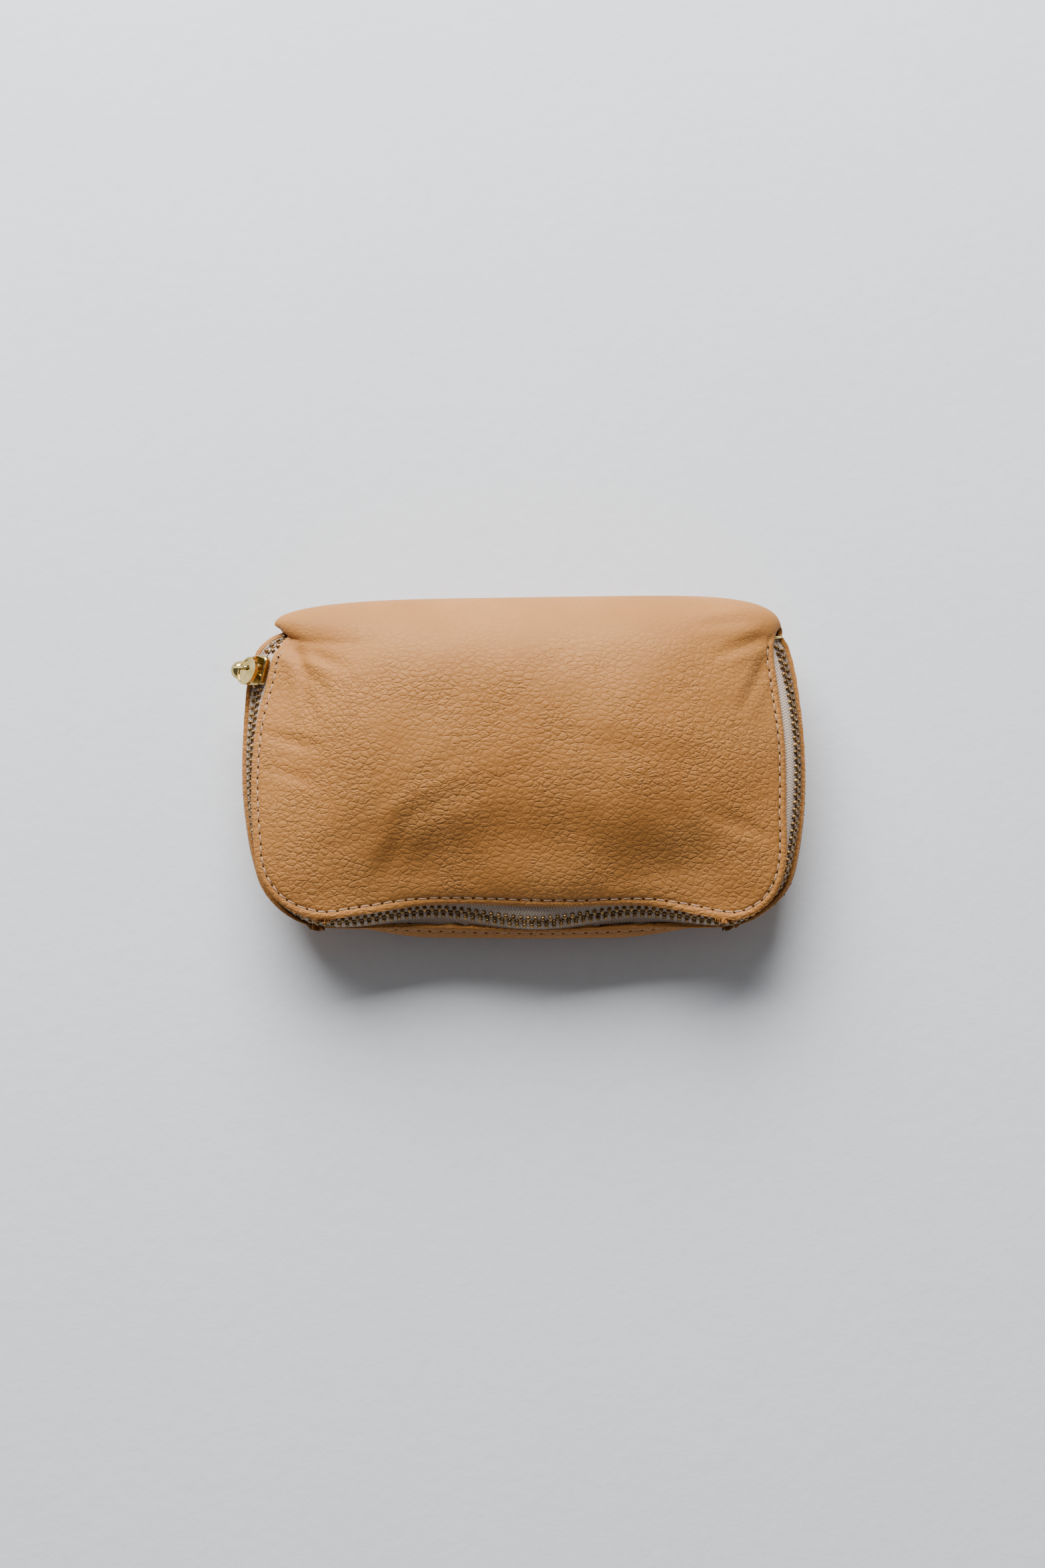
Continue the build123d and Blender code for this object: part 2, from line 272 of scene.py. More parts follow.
# ---------------------------------------------------------------- materials
def leather_finish():
    """Tan hide: pebbles parted by creases, smaller towards the back and stretched smooth at the fold, with
    painted shade darkening the creases.
    """
    f = Finish("pebbled_tan_leather", IOR=1.46, Specular_IOR_Level=0.25, Coat_Roughness=0.5)
    at = f.place()
    _, y, _ = parts_of(f, at)
    warped = f.warp(f.warp(at, 260.0, 0.0015), 1000.0, 0.00045)
    squeezed = f.node("Mapping", Vector=warped, Scale=(0.78, 1.12, 1.0), Rotation=(0, 0, 0.35))
    big = f.cells(squeezed, 470.0, "DISTANCE_TO_EDGE")
    round_top = 1.0 - f.cells(squeezed, 470.0)
    small = f.cells(warped, 900.0, "DISTANCE_TO_EDGE")
    stretched = f.between(y, 0.026, 0.056)
    patchy = f.between(f.noise(at, 60.0, 3.0), 0.36, 0.62)
    loose = (1.0 - 0.74 * stretched) * (0.55 + 0.45 * patchy)
    slanted = f.node("Mapping", Vector=warped, Scale=(0.55, 1.5, 1.0), Rotation=(0, 0, -0.55))
    ridged = f.noise(slanted, 260.0, 2.0)
    gather = 1.0 - f.between((ridged - 0.5).maths("ABSOLUTE", ridged - 0.5), 0.0, 0.035)
    pebble = 0.7 * f.between(big, 0.0, 0.24) + 0.6 * round_top - 0.5 * gather * patchy
    crumb = f.between(small, 0.0, 0.24)
    # The creases between the big pebbles: the mask for painted shade in them.
    valley = 1.0 - f.between(big, 0.0, 0.10)
    pores = f.noise(at, 2400.0, 3.0, 0.6)
    broad = f.noise(at, 30.0, 3.0, 0.5)
    tan = f.mix(f.between(broad, 0.3, 0.7), (0.385, 0.155, 0.034), (0.450, 0.192, 0.048))
    # Painted shade: the creases between the big pebbles and between the small cells are darkened.
    tan = f.mix(valley * loose * 0.36, tan, (0.185, 0.062, 0.013))
    tan = f.mix((1.0 - crumb) * loose * 0.16, tan, (0.215, 0.076, 0.017))
    tan = f.mix(f.between(pores, 0.54, 0.72) * 0.16, tan, (0.52, 0.25, 0.085))
    rough = 0.61 - 0.09 * pebble * loose + 0.12 * f.between(pores, 0.4, 0.7)
    first = f.bump(pebble * loose + 0.28 * crumb * loose + 0.5 * stretched, 0.00023, 0.8)
    second = f.bump(pores, 0.00005, 0.55, first)
    return f.feed(Base_Color=tan, Roughness=rough, Normal=second, Coat_Weight=0.02 + 0.05 * stretched)


def lining_finish():
    f = Finish("twill_lining", Roughness=0.85, Specular_IOR_Level=0.25)
    at = f.place((1, 1, 1), (0.2, 0.1, math.radians(40)))
    twill = f.node("TexWave", {"wave_type": "BANDS", "bands_direction": "X"}, Vector=at, Scale=260.0,
                   Distortion=0.6, Detail=2.0)
    slub = f.noise(at, 420.0, 3.0)
    cloth = f.mix(twill, (0.30, 0.205, 0.125), (0.42, 0.30, 0.19))
    cloth = f.mix(f.between(slub, 0.45, 0.7) * 0.35, cloth, (0.24, 0.16, 0.10))
    normal = f.bump(twill + 0.4 * slub, 0.00012, 0.7)
    return f.feed(Base_Color=cloth, Roughness=0.8 + 0.1 * slub, Normal=normal)


def tape_finish():
    f = Finish("herringbone_tape", Roughness=0.8, Specular_IOR_Level=0.2)
    along, across, _ = parts_of(f, f.strip())
    lane = (across / 0.00095).maths("PINGPONG", across / 0.00095, 1.0)
    phase = (along / 0.0005 + lane * 1.6) * math.pi
    ribs = 0.5 + 0.5 * phase.maths("SINE", phase)
    fuzz = f.noise(f.place(), 1500.0, 3.0)
    soil = f.noise(f.place(), 90.0, 3.0)
    woven = f.mix(ribs, (0.36, 0.26, 0.19), (0.68, 0.55, 0.46))
    woven = f.mix(f.between(soil, 0.45, 0.75) * 0.4, woven, (0.52, 0.38, 0.27))
    woven = f.mix(f.between(fuzz, 0.5, 0.7) * 0.3, woven, (0.80, 0.70, 0.62))
    normal = f.bump(ribs + 0.4 * fuzz, 0.00012, 0.8)
    return f.feed(Base_Color=woven, Roughness=0.78 + 0.12 * fuzz, Normal=normal)


def brass_finish():
    f = Finish("antique_brass", Metallic=1.0)
    at = f.place()
    tarnish = f.noise(at, 520.0, 4.0, 0.65)
    rub = f.noise(at, 2200.0, 3.0)
    metal = f.mix(f.between(tarnish, 0.38, 0.68), (0.13, 0.070, 0.028), (0.42, 0.25, 0.095))
    metal = f.mix(f.between(rub, 0.55, 0.75) * 0.5, metal, (0.72, 0.50, 0.24))
    normal = f.bump(rub, 0.00004, 0.5)
    return f.feed(Base_Color=metal, Roughness=0.30 + 0.25 * tarnish, Normal=normal)


def gold_finish():
    f = Finish("pale_gold_plate", Metallic=1.0)
    at = f.place()
    haze = f.noise(at, 240.0, 4.0, 0.6)
    hairs = f.noise(f.place((1, 6, 1), (0.3, 0.6, 0.9)), 1800.0, 2.0)
    metal = f.mix(f.between(haze, 0.35, 0.7), (0.46, 0.33, 0.105), (0.70, 0.55, 0.24))
    rough = 0.12 + 0.10 * f.between(haze, 0.4, 0.7) + 0.06 * hairs
    return f.feed(Base_Color=metal, Roughness=rough, Normal=f.bump(hairs, 0.000012, 0.35))


def thread_finish():
    f = Finish("waxed_thread", Roughness=0.6, Specular_IOR_Level=0.35)
    at = f.place()
    twist = f.node("TexWave", {"bands_direction": "DIAGONAL"}, Vector=at, Scale=900.0, Distortion=1.5)
    fuzz = f.noise(at, 3000.0, 2.0)
    strand = f.mix(twist, (0.34, 0.20, 0.13), (0.60, 0.42, 0.32))
    return f.feed(Base_Color=strand, Roughness=0.5 + 0.2 * fuzz, Normal=f.bump(twist, 0.00007, 0.8))


def hole_shade_finish():
    # Painted shade: the needle holes are near-black, standing in for the shade inside them.
    f = Finish("needle_hole_shade", Roughness=0.9, Specular_IOR_Level=0.1)
    speck = f.noise(f.place(), 1500.0, 2.0)
    return f.feed(Base_Color=f.mix(speck, (0.020, 0.010, 0.005), (0.055, 0.026, 0.011)))


def floor_finish():
    f = Finish("pale_plaster_floor", Roughness=0.85, Specular_IOR_Level=0.25)
    at = f.place()
    mottle = f.noise(at, 12.0, 4.0, 0.6)
    tooth = f.noise(at, 160.0, 5.0, 0.65)
    pale = f.mix(mottle, (0.725, 0.750, 0.785), (0.785, 0.810, 0.845))
    pale = f.mix(f.between(tooth, 0.45, 0.7) * 0.25, pale, (0.70, 0.715, 0.74))
    return f.feed(Base_Color=pale, Roughness=0.8 + 0.1 * tooth, Normal=f.bump(tooth, 0.0006, 0.35))


# ---------------------------------------------------------------- curves and the zip's line
def eased(amount, t):
    """None of an amount at t = 0 and all of it at t = 1, with a soft start and a soft end."""
    return amount * t * t * (3 - 2 * t)


def smooth_line(points, count):
    """count points along a smooth curve through the given ones."""
    known = np.array(points, float)
    steps = np.r_[0, np.cumsum(np.linalg.norm(np.diff(known, axis=0), axis=1))]
    slopes = np.gradient(known, steps, axis=0)
    where = np.linspace(0, steps[-1], count)
    index = np.clip(np.searchsorted(steps, where, side="right") - 1, 0, len(steps) - 2)
    width = (steps[index + 1] - steps[index])[:, None]
    t = (where[:, None] - steps[index][:, None]) / width
    a, b = known[index], known[index + 1]
    ma, mb = slopes[index] * width, slopes[index + 1] * width
    return (2 * t**3 - 3 * t**2 + 1) * a + (t**3 - 2 * t**2 + t) * ma \
        + (3 * t**2 - 2 * t**3) * b + (t**3 - t**2) * mb


def lengths(points):
    return np.r_[0, np.cumsum(np.linalg.norm(np.diff(points, axis=0), axis=1))]


def pick(points, along):
    """Points of a polyline at distances along it."""
    steps = lengths(points)
    return np.stack([np.interp(along, steps, points[:, k]) for k in range(points.shape[1])], axis=1)


def plan_line():
    """The zip's line in plan from its left end round the front to its right end, evenly spaced, and
    half the length of its straight front."""
    arc_x = SIDE_RADIUS - SIDE_HALF
    corner_y = CORNER - FRONT
    turn = math.asin((corner_y - SIDE_Y) / (SIDE_RADIUS - CORNER))
    corner_x = arc_x - (SIDE_RADIUS - CORNER) * math.cos(turn)
    side = np.linspace(math.asin((END_Y - SIDE_Y) / SIDE_RADIUS), turn, 400)
    bend = np.linspace(turn, -math.pi / 2, 200)
    left = np.concatenate([
        np.stack([arc_x - SIDE_RADIUS * np.cos(side), SIDE_Y + SIDE_RADIUS * np.sin(side)], axis=1),
        np.stack([corner_x - CORNER * np.cos(bend), corner_y + CORNER * np.sin(bend)], axis=1)[1:],
        [[0.0, -FRONT]],
    ])
    whole = np.concatenate([left, (left * [-1, 1])[::-1][1:]])
    return pick(whole, np.linspace(0, lengths(whole)[-1], 1601)), -corner_x


PLAN, FRONT_HALF = plan_line()
bent = np.clip((PLAN[:, 1] - END_BEND_FROM) / (END_Y - END_BEND_FROM), 0, 1)
PLAN[:, 0] += END_BEND * bent ** 2 * (PLAN[:, 0] < 0)
TANGENT = np.gradient(PLAN, axis=0)
TANGENT /= np.linalg.norm(TANGENT, axis=1)[:, None]
OUT = np.stack([TANGENT[:, 1], -TANGENT[:, 0]], axis=1)
FACING = np.clip(-OUT[:, 1], 0, 1)
RUN = lengths(PLAN)
UP = np.array([0.0, 0.0, 1.0])


def wave(x):
    """The buckling of the soft front: -1 where it stands forward, 1 where it falls back."""
    return -np.cos(2 * math.pi * (x - WAVE_X) / WAVE_LENGTH)


def band_shape():
    """The rows of BAND_SHAPE spread smoothly over the zip's run, in radians and metres."""
    table = np.array(BAND_SHAPE, float)
    run = RUN / mm * table[-1, 0] / (RUN[-1] / mm)
    slopes = np.gradient(table[:, 1:], table[:, 0], axis=0)
    index = np.clip(np.searchsorted(table[:, 0], run, side="right") - 1, 0, len(table) - 2)
    width = (table[index + 1, 0] - table[index, 0])[:, None]
    t = (run[:, None] - table[index, :1]) / width
    a, b = table[index, 1:], table[index + 1, 1:]
    smooth = a + eased(b - a, t)
    bend = (t**3 - 2 * t**2 + t) * slopes[index] * width + (t**3 - t**2) * slopes[index + 1] * width
    made = smooth + 0.6 * bend
    return np.radians(made[:, :3]), made[:, 3:] * mm


def zip_frame():
    """Centre, outward direction in plan, direction across the teeth (to the lid) and normal."""
    lean = LEANS[:, 1]
    out = np.c_[OUT, np.zeros(len(OUT))]
    across = UP * np.sin(lean)[:, None] - out * np.cos(lean)[:, None]
    normal = UP * np.cos(lean)[:, None] + out * np.sin(lean)[:, None]
    centre = np.c_[PLAN, np.full(len(PLAN), ZIP_Z)]
    centre[:, 1] += CHAIN_WAVE * wave(PLAN[:, 0]) * FACING**3
    centre[:, 2] -= CHAIN_DIP * wave(PLAN[:, 0]) * FACING**3
    centre[:, 0] += MIDDLE_X
    return centre, out, across, normal


LEANS, WIDTHS = band_shape()
CENTRE, OUTWARD, ACROSS, NORMAL = zip_frame()


def band_line(side, share, above):
    """A line along the zip: share goes from 0 at the teeth's centre to 1 at the leather's edge on the
    lid's side (1) or the base's (-1), and above is the height over the tape."""
    chain = LEANS[:, 1]
    edge = LEANS[:, 0] if side > 0 else LEANS[:, 2]
    width = WIDTHS[:, 0] if side > 0 else WIDTHS[:, 1]
    flat = np.minimum(0.8 * TEETH_HALF, 0.6 * width)
    point = CENTRE.copy()
    last = 0.0
    steps = 12
    lean = chain
    for step in range(1, steps + 1):
        part = share * step / steps
        there = np.clip((part * width - flat) / (width - flat), 0, 1)
        lean = chain + eased(edge - chain, there)
        way = UP * np.sin(lean)[:, None] - OUTWARD * np.cos(lean)[:, None]
        point = point + way * (side * (part - last) * width)[:, None]
        last = part
    normal = UP * np.cos(lean)[:, None] + OUTWARD * np.sin(lean)[:, None]
    return point + normal * above


LID_EDGE = band_line(1, 1.0, LEATHER)
BASE_EDGE = band_line(-1, 1.0, LEATHER)
BASE_EDGE[:, 1] -= (CHAIN_WAVE - BASE_WAVE) * wave(PLAN[:, 0]) * FACING**3
LID_EDGE[:, 1] -= (CHAIN_WAVE - EDGE_WAVE) * wave(PLAN[:, 0]) * FACING**3


# ---------------------------------------------------------------- the leather's surface
def spread(count, tight=0.88):
    """Numbers from -1 to 1, closer together near both ends."""
    k = np.linspace(-1, 1, count)
    return k + tight * np.sin(math.pi * k) / math.pi


def half_edge(line, side):
    """One half of an edge line (-1 the left, 1 the right), from the front corner back to the zip's
    end, as ROWS_EDGE points."""
    start = np.argmin(np.abs(PLAN[:, 0] - side * FRONT_HALF) + (PLAN[:, 1] > 0))
    half = line[: start + 1][::-1] if side < 0 else line[start:]
    return pick(half, np.linspace(0, lengths(half)[-1], ROWS_EDGE))


def edge_rows(side):
    """The leather's edge on one side: up the lid's edge, round the fold and back along the base's."""
    lid_side, base_side = half_edge(LID_EDGE, side), half_edge(BASE_EDGE, side)[::-1]
    share = np.linspace(0, 1, ROWS_FOLD + 2)[1:-1, None]
    fold = lid_side[-1] + (base_side[0] - lid_side[-1]) * share
    swell = np.sin(math.pi * share[:, 0]) ** 0.6
    fold[:, 1] += FOLD_BACK * swell
    fold[:, 0] += side * FOLD_SWELL[side] * swell
    return np.concatenate([lid_side, fold, base_side])


def middle_rows():
    """The leather's middle line, one point for each row."""
    middle = smooth_line([(y * mm, z * mm) for y, z in PROFILE], 4000)
    along = lengths(middle)
    from_back = np.abs(middle[:, 0] - PROFILE_BACK)
    top = int(np.argmin(from_back + (middle[:, 1] < 30 * mm)))
    under = int(np.argmin(from_back + (middle[:, 1] > 10 * mm)))
    even = np.linspace(0, 1, ROWS_EDGE)
    easy = even - 0.65 * np.sin(math.pi * even) / math.pi
    lid_side = half_edge(LID_EDGE, -1)[:, 1]
    lift = np.clip((lid_side - lid_side[0]) / (lid_side[-1] - lid_side[0]), 0, 1)
    spaced = 0.6 * easy + 0.4 * lift
    aim = middle[0, 0] + (middle[top, 0] - middle[0, 0]) * spaced
    lid = np.interp(aim, middle[: top + 1, 0], along[: top + 1])
    fold = along[top] + (along[under] - along[top]) * np.linspace(0, 1, ROWS_FOLD + 2)[1:-1]
    base = along[-1] + (along[under] - along[-1]) * spaced[::-1]
    return pick(middle, np.concatenate([lid, fold, base]))


def outer_surface():
    """The leather's outer face as a grid of points: rows from the lid's front edge over the fold to
    the base's front edge, columns from left to right."""
    left, right, centres = edge_rows(-1), edge_rows(1), middle_rows()
    s = spread(COLUMNS)[None, :]
    edges = np.where(s[:, :, None] < 0, left[:, None, :], right[:, None, :])
    lid_rows, fold_rows = ROWS_EDGE, ROWS_EDGE + ROWS_FOLD
    row = np.arange(len(centres))[:, None]
    into_fold = eased(1, np.clip((row - lid_rows + 14) / (0.5 * ROWS_FOLD + 14), 0, 1))
    rise_lid = 1 - np.abs(s) ** 3.6
    rise_base = np.sqrt(np.clip(1 - np.abs(s) ** 5.5, 0, 1))
    rise = rise_lid + (rise_base - rise_lid) * into_fold
    power = np.where(s < 0, 4.2, 6.0)
    back = np.clip(1 - np.abs(s) ** power, 0, 1) ** (1 / 2.2)
    belly = 4 * rise * (1 - rise) * into_fold * np.where(row > fold_rows, 1.0, 0.4)
    x = MIDDLE_X + np.abs(s) * (edges[:, :, 0] - MIDDLE_X) + np.sign(s) * BELLY * belly
    in_fold = np.clip(np.minimum(row - lid_rows + 12, fold_rows + 12 - row) / 14.0, 0, 1)
    turn = rise + (back - rise) * in_fold
    to_front = np.clip((row - fold_rows - 0.4 * lid_rows) / (0.4 * lid_rows), 0, 1)
    to_corner = np.clip((np.abs(s) - 0.35) / 0.6, 0, 1)
    turn = turn * (1 - eased(eased(CORNER_TUCK, to_front), to_corner))
    y = edges[:, :, 1] + (centres[:, 0:1] - edges[:, :, 1]) * turn
    y = y + FOLD_LEAN * s * in_fold * turn
    z = edges[:, :, 2] + (centres[:, 1:2] - edges[:, :, 2]) * rise
    grid = np.stack([x, y, z], axis=2)
    pull_front(grid, 0, LID_EDGE, LID_PULL)
    pull_front(grid, -1, BASE_EDGE, BASE_PULL)
    return grid


def pull_front(grid, row, line, reach):
    """Move a front row onto its edge line, and what lies within reach of it in part."""
    front = line[np.abs(PLAN[:, 0]) < FRONT_HALF + 4 * mm]
    front = front[front[:, 1] < 0]
    target = np.stack([np.interp(grid[row, :, 0], front[:, 0], front[:, k]) for k in range(3)], axis=1)
    shift = target - grid[row]
    shift[:, 0] = 0
    order = grid if row == 0 else grid[::-1]
    away = np.r_[0, np.cumsum(np.linalg.norm(np.diff(order[:, COLUMNS // 2], axis=0), axis=1))]
    fade = np.exp(-((away / reach) ** 2))
    order += shift[None, :, :] * fade[:, None, None]


def dent(x, y, at, size, depth):
    """A soft hollow (or a swelling, when depth is negative) at a place in plan."""
    away = ((x - MIDDLE_X) / mm - at[0]) ** 2 / size[0] ** 2 + (y / mm - at[1]) ** 2 / size[1] ** 2
    return -depth * mm * np.exp(-away)


def crease(x, y, start, end, width, depth):
    """A soft fold line from start to end in plan, deepest in its middle third."""
    a, b = np.array(start), np.array(end)
    run = b - a
    px, py = (x - MIDDLE_X) / mm - a[0], y / mm - a[1]
    t = np.clip((px * run[0] + py * run[1]) / (run @ run), 0, 1)
    away = np.hypot(px - t * run[0], py - t * run[1])
    valley = np.exp(-((away / width) ** 2)) - 0.45 * np.exp(-(((away - 1.9 * width) / width) ** 2))
    return -depth * mm * valley * np.sin(math.pi * (0.12 + 0.76 * t))


# Hollows of the lid: place in plan, size both ways, depth, all in mm.
LID_DENTS = [
    ((-76, 20), (11, 24), 2.6), ((84, 32), (8, 16), 1.4), ((-34, -31), (17, 10), 2.0),
    ((46, -32), (18, 10), 2.2), ((4, -33), (13, 9), -0.2), ((4, -24), (46, 9), 0.8),
    ((-20, 40), (26, 12), -0.9), ((66, 44), (12, 9), 0.7), ((-62, 42), (13, 10), 0.8),
]

# Folds of the lid: start and end in plan, width, depth, all in mm.
LID_CREASES = [
    ((-72, -28), (2, 0), 3.6, 0.26), ((-60, -18), (-22, 4), 2.8, 0.2),
    ((-84, 47), (-60, 35), 2.0, 0.6), ((-80, 50), (-72, 18), 2.0, 0.6),
    ((-82, 47), (-66, 24), 2.0, 0.6), ((-88, 14), (-68, 7), 2.0, 0.5), ((-87, 2), (-70, -4), 1.8, 0.35),
    ((84, 48), (66, 40), 2.0, 0.6), ((86, 44), (74, 22), 2.0, 0.5), ((78, 54), (58, 50), 2.0, 0.4),
    ((-48, -36), (-36, -12), 3.0, 0.5), ((30, -38), (22, -16), 3.2, 0.45), ((62, -36), (52, -14), 3.0, 0.5),
    ((-16, -38), (-22, -20), 3.0, 0.4), ((84, -22), (64, -14), 2.6, 0.35), ((10, 10), (60, 2), 4.0, 0.25),
]


def shape_lid(grid, normals, rows):
    """Dents, creases and a slow unevenness over the lid and the fold."""
    x, y, z = (grid[rows, :, k] for k in range(3))
    top = np.clip((z - 30 * mm) / (6 * mm), 0, 1)
    move = sum(dent(x, y, *one) for one in LID_DENTS)
    move = move + sum(crease(x, y, *one) for one in LID_CREASES)
    u, v = (x / mm + 0.35 * z / mm) / 9.0, (y / mm - 0.5 * z / mm) / 8.0
    uneven = np.sin(1.1 * u + 0.7 * v + 1.2) * np.sin(0.8 * v - 0.5 * u) + 0.5 * np.sin(2.3 * u - 1.7 * v)
    move = move + 0.16 * mm * uneven
    grid[rows] += normals[rows] * (move * top)[:, :, None]


def grid_normals(grid):
    """A normal for each point of the leather's grid; the four corners, where rows and columns run
    together, take theirs from a little further in."""
    down = np.gradient(grid, axis=0)
    right = np.gradient(grid, axis=1)
    normal = np.cross(down, right)
    size = np.linalg.norm(normal, axis=2)[:, :, None]
    normal = normal / np.maximum(size, 1e-12)
    for rows, row in ((slice(0, 4), 3), (slice(-4, None), -4)):
        for columns, column in ((slice(0, 4), 3), (slice(-4, None), -4)):
            normal[rows, columns] = normal[row, column].copy()
    if normal[ROWS_EDGE // 2, COLUMNS // 2, 2] < 0:
        normal = -normal
    return normal


def edge_map(part, line):
    """For every point of a grid, how far it lies from an edge line and where along the zip."""
    points = part.reshape(-1, 3)
    away, run = np.empty(len(points)), np.empty(len(points))
    thin = slice(None, None, 3)
    for start in range(0, len(points), 2000):
        block = points[start : start + 2000]
        gap = np.linalg.norm(block[:, None, :] - line[None, thin, :], axis=2)
        away[start : start + 2000] = gap.min(axis=1)
        run[start : start + 2000] = RUN[thin][gap.argmin(axis=1)]
    return away.reshape(part.shape[:2]), run.reshape(part.shape[:2])


def stitch_groove(grid, normals):
    """A shallow channel under the topstitching, and a softly rolled edge."""
    for line, rows in ((LID_EDGE, slice(0, ROWS_EDGE)), (BASE_EDGE, slice(ROWS_EDGE + ROWS_FOLD, None))):
        away, _ = edge_map(grid[rows], line)
        channel = np.exp(-(((away - STITCH_IN) / (0.7 * mm)) ** 2))
        swell = np.exp(-(((away - 1.3 * mm) / (0.8 * mm)) ** 2))
        roll = np.exp(-((away / (0.45 * mm)) ** 2))
        move = -0.30 * mm * channel + 0.14 * mm * swell - 0.30 * mm * roll
        grid[rows] += normals[rows] * move[:, :, None]


class Margin:
    """The leather within a few millimetres of one edge, found by distance along and in from the edge."""

    def __init__(self, part, line):
        away, run = edge_map(part, line)
        near = away < MARGIN_REACH
        self.points, self.places = part[near], np.stack([run[near], away[near]], axis=1)
        self.tree = surface_tree(part)

    def at(self, run, inward, outward):
        """The surface point and the normal (on outward's side) at a place in the margin."""
        gap = np.linalg.norm((self.places - [run, inward]) * [1.0, 1.6], axis=1)
        close = np.argsort(gap)[:5]
        weight = 1 / (gap[close] + 0.05 * mm)
        guess = (self.points[close] * weight[:, None]).sum(axis=0) / weight.sum()
        spot, normal, _, _ = self.tree.find_nearest(Vector(guess))
        if normal.dot(Vector(outward)) < 0:
            normal = -normal
        return spot, normal


def leather_grid():
    grid = outer_surface()
    normals = grid_normals(grid)
    shape_lid(grid, normals, slice(0, ROWS_EDGE + ROWS_FOLD))
    stitch_groove(grid, grid_normals(grid))
    grid[:, :, 2] = np.maximum(grid[:, :, 2], 0.02 * mm)
    return grid


# ---------------------------------------------------------------- mesh helpers
def new_piece(name, bm, *materials, smooth=True):
    mesh = bpy.data.meshes.new(name)
    bmesh.ops.recalc_face_normals(bm, faces=bm.faces)
    bm.to_mesh(mesh)
    bm.free()
    for material in materials:
        mesh.materials.append(material)
    for polygon in mesh.polygons:
        polygon.use_smooth = smooth
    piece = bpy.data.objects.new(name, mesh)
    bpy.context.scene.collection.objects.link(piece)
    return piece


def grid_piece(name, grid, material, outward, strip=None):
    """A sheet from an operator's grid, moved onto the given points; outward is a direction that the
    middle of the sheet faces."""
    rows, columns = grid.shape[:2]
    bm = bmesh.new()
    bmesh.ops.create_grid(bm, x_segments=columns - 1, y_segments=rows - 1, size=1)
    for vert, point in zip(bm.verts, grid.reshape(-1, 3)):
        vert.co = point
    bm.normal_update()
    middle = sum((face.normal for face in bm.faces), Vector())
    if middle.dot(Vector(outward)) < 0:
        bmesh.ops.reverse_faces(bm, faces=bm.faces)
    if strip is not None:
        layer = bm.loops.layers.uv.new("strip")
        bm.verts.index_update()
        for face in bm.faces:
            for loop in face.loops:
                loop[layer].uv = strip[loop.vert.index]
    mesh = bpy.data.meshes.new(name)
    bm.to_mesh(mesh)
    bm.free()
    mesh.materials.append(material)
    for polygon in mesh.polygons:
        polygon.use_smooth = True
    piece = bpy.data.objects.new(name, mesh)
    bpy.context.scene.collection.objects.link(piece)
    return piece


def thicken(piece, thickness, rim=0.0):
    solid = piece.modifiers.new("thickness", "SOLIDIFY")
    solid.thickness, solid.offset, solid.use_rim = thickness, -1.0, True
    if rim:
        bevel = piece.modifiers.new("rim", "BEVEL")
        bevel.width, bevel.segments, bevel.limit_method = rim, 3, "ANGLE"
        bevel.angle_limit = math.radians(55)


def copies(name, prototype, places, *materials):
    """Many copies of one small shape in one mesh, each at its own matrix."""
    bm = bmesh.new()
    for matrix in places:
        made = prototype(bm)
        bmesh.ops.transform(bm, matrix=matrix, verts=made)
    return new_piece(name, bm, *materials)


def place_at(point, along, normal):
    """A matrix with x along, z along normal."""
    z = Vector(normal).normalized()
    x = Vector(along)
    x = (x - z * x.dot(z)).normalized()
    y = z.cross(x)
    matrix = Matrix((x, y, z)).transposed().to_4x4()
    matrix.translation = Vector(point)
    return matrix


def block(bm, size, centre=(0, 0, 0), round_off=0.0, segments=1, material=0):
    """A bevelled block; returns its vertices."""
    made = bmesh.ops.create_cube(bm, size=1.0)["verts"]
    bmesh.ops.scale(bm, vec=size, verts=made)
    bmesh.ops.translate(bm, vec=centre, verts=made)
    if round_off:
        edges = {edge for vert in made for edge in vert.link_edges}
        result = bmesh.ops.bevel(bm, geom=list(edges), offset=round_off, segments=segments, profile=0.5,
                                 affect="EDGES", material=-1)
        made = list({*result["verts"], *(v for v in made if v.is_valid)})
    for face in {face for vert in made for face in vert.link_faces}:
        face.material_index = material
    return made


# ---------------------------------------------------------------- the pieces
def make_leather(grid, material):
    """The outer leather, split across the fold: the lid's piece with the upper fold, and the base's piece,
    which is attached to the base.
    """
    row = ROWS_EDGE + int(np.argmin(np.abs(grid[ROWS_EDGE : ROWS_EDGE + ROWS_FOLD, COLUMNS // 2, 2]
                                           - FOLD_SPLIT_Z)))
    lid = grid_piece("leather_lid_and_fold", grid[: row + 1], material, (0, 0, 1))
    base = grid_piece("leather_base", grid[row:], material, (0, 0, -1))
    for piece in (lid, base):
        thicken(piece, LEATHER, LEATHER_RIM)
    blend_fold(lid)
    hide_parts("lid_leather", "spine_leather")
    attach(base, "base")
    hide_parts("base_leather")
    return row


def blend_fold(piece):
    """Bake a piece's transform into its mesh."""
    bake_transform(piece)


def make_lining(grid, row, material):
    """The lining, on every other point of the leather's grid and a little short of its edges."""
    normals = grid_normals(grid)
    inner = grid - normals * LINING_DEPTH
    inner[:, :, 2] = np.maximum(inner[:, :, 2], LINING_DEPTH)
    columns = slice(LINING_TRIM, -LINING_TRIM, 2)
    lid_grid = inner[LINING_TRIM : row + 2 : 2, columns]
    base_grid = inner[row - row % 2 : -LINING_TRIM : 2, columns]
    lid = grid_piece("lining_lid_and_fold", lid_grid, material, (0, 0, 1))
    base = grid_piece("lining_base", base_grid, material, (0, 0, -1))
    for piece in (lid, base):
        thicken(piece, LINING)
    blend_fold(lid)
    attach(base, "base")
    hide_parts("lid_lining", "lid_interlining", "spine_lining")
    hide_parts("base_lining", "base_interlining")


def facing_out(side):
    """Which way the leather beside the zip faces: up and out on the lid, straight out on the base."""
    return UP + 0.5 * OUTWARD if side > 0 else OUTWARD


